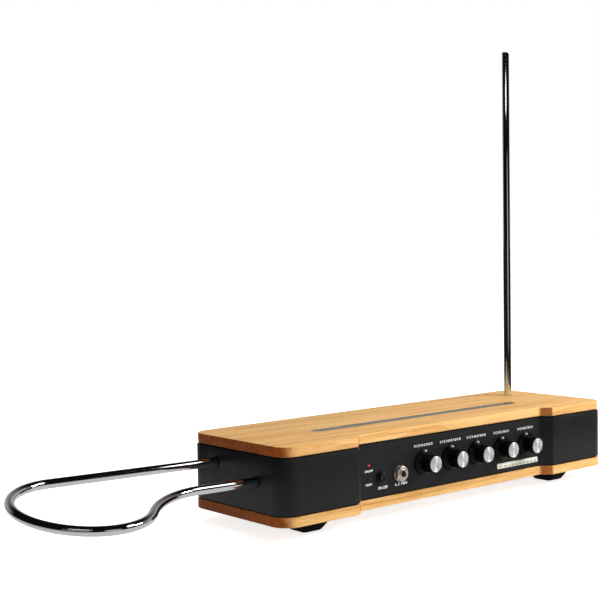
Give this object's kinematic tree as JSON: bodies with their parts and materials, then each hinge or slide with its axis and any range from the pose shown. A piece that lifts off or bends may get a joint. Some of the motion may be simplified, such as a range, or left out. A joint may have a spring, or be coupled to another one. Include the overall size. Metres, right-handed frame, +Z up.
{
  "type": "theremin",
  "caption": "Theremin: low wood and black steel cabinet with a row of knobs, an upright rod antenna and a flat loop antenna on its left end.",
  "frame": {"origin": "mouth of the stand socket, in the middle of the cabinet's underside", "axes": "+X to the right along the front panel, +Y from the front panel to the back, +Z up along the pitch antenna"},
  "size_m": [0.7207, 0.1689, 0.4934],
  "materials": {
    "light_wood": "semi-gloss clear lacquer over light open-grained wood",
    "dark_inlay": "satin dark strip",
    "black_steel": "satin black powder coat",
    "cream_plate": "printed cream plate",
    "black_rubber": "matt black rubber",
    "steel": "zinc plated",
    "nickel": "nickel plated, worn",
    "knob_plastic": "glossy black moulding",
    "turned_aluminium": "turned face with fine rings",
    "black_plastic": "satin black moulding",
    "white_plastic": "turned plastic",
    "red_lens": "lit red lens",
    "dark_lens": "unlit red lens",
    "chrome": "polished chrome",
    "brass": "machined brass",
    "circuit_board": "green board with dark parts",
    "copper_wire": "lacquered copper winding",
    "red_wire": "insulated wire"
  },
  "bodies": {
    "cabinet": {"bottom_board": "light_wood", "top_board": "light_wood", "top_inlay": "dark_inlay", "case_shell": "black_steel", "base_plate": "black_steel", "front_panel": "black_steel", "name_plate": "cream_plate", "feet": "black_rubber", "foot_screws": "steel", "case_screws": "steel", "top_screws": "steel", "panel_nuts": "steel", "stand_socket": "steel", "control_nuts": "steel", "power_led": "red_lens", "mute_led": "dark_lens", "mute_switch": "black_plastic", "mute_bezel": "black_plastic", "phones_jack": "nickel", "audio_jack": "nickel", "jack_nuts": "nickel", "jack_washers": "nickel", "dc_inlet": "black_plastic", "power_switch": "black_plastic", "pitch_socket": "brass", "pitch_bush": "white_plastic", "volume_socket": "brass", "volume_bushes": "black_plastic", "main_board": "circuit_board", "panel_board": "circuit_board", "board_pillars": "brass", "board_screws": "steel", "pitch_coil": "copper_wire", "volume_coil": "copper_wire", "antenna_leads": "red_wire", "control_1": "circuit_board", "control_2": "circuit_board", "control_3": "circuit_board", "control_4": "circuit_board", "control_5": "circuit_board"},
    "phones_level_knob": {"knob_1": "knob_plastic", "knob_cap_1": "turned_aluminium", "control_shaft_1": "steel"},
    "volume_range_knob": {"knob_2": "knob_plastic", "knob_cap_2": "turned_aluminium", "control_shaft_2": "steel"},
    "pitch_range_knob": {"knob_3": "knob_plastic", "knob_cap_3": "turned_aluminium", "control_shaft_3": "steel"},
    "waveform_knob": {"knob_4": "knob_plastic", "knob_cap_4": "turned_aluminium", "control_shaft_4": "steel"},
    "brightness_knob": {"knob_5": "knob_plastic", "knob_cap_5": "turned_aluminium", "control_shaft_5": "steel"},
    "mute_push": {"mute_button": "black_plastic"},
    "power_rocker": {"power_rocker": "black_plastic"},
    "pitch_antenna": {"pitch_antenna": "chrome"},
    "volume_antenna": {"volume_antenna": "chrome"}
  },
  "joints": [
    {"name": "phones_level_turn", "type": "hinge", "parent": "cabinet", "child": "phones_level_knob", "pos_m": [-0.0482, -0.06255, 0.037], "axis": [0, 1, 0], "range_deg": [-266, 34]},
    {"name": "volume_range_turn", "type": "hinge", "parent": "cabinet", "child": "volume_range_knob", "pos_m": [-0.0087, -0.06255, 0.037], "axis": [0, 1, 0], "range_deg": [-300, 0]},
    {"name": "pitch_range_turn", "type": "hinge", "parent": "cabinet", "child": "pitch_range_knob", "pos_m": [0.0308, -0.06255, 0.037], "axis": [0, 1, 0], "range_deg": [-290, 10]},
    {"name": "waveform_turn", "type": "hinge", "parent": "cabinet", "child": "waveform_knob", "pos_m": [0.0703, -0.06255, 0.037], "axis": [0, 1, 0], "range_deg": [-298, 2]},
    {"name": "brightness_turn", "type": "hinge", "parent": "cabinet", "child": "brightness_knob", "pos_m": [0.1098, -0.06255, 0.037], "axis": [0, 1, 0], "range_deg": [-217, 83]},
    {"name": "mute_press", "type": "slide", "parent": "cabinet", "child": "mute_push", "axis": [0, 1, 0], "range_m": [0, 0.0015], "stiffness_N_per_m": 500, "springref_m": -0.001},
    {"name": "power_rock", "type": "hinge", "parent": "cabinet", "child": "power_rocker", "pos_m": [0.15, 0.07275, 0.037], "axis": [1, 0, 0], "range_deg": [0, 20]},
    {"name": "pitch_lift", "type": "slide", "parent": "cabinet", "child": "pitch_antenna", "axis": [0, 0, 1], "range_m": [0, 0.04]},
    {"name": "volume_pull", "type": "slide", "parent": "cabinet", "child": "volume_antenna", "axis": [-0.9998, 0, 0.0192], "range_m": [0, 0.04]}
  ]
}
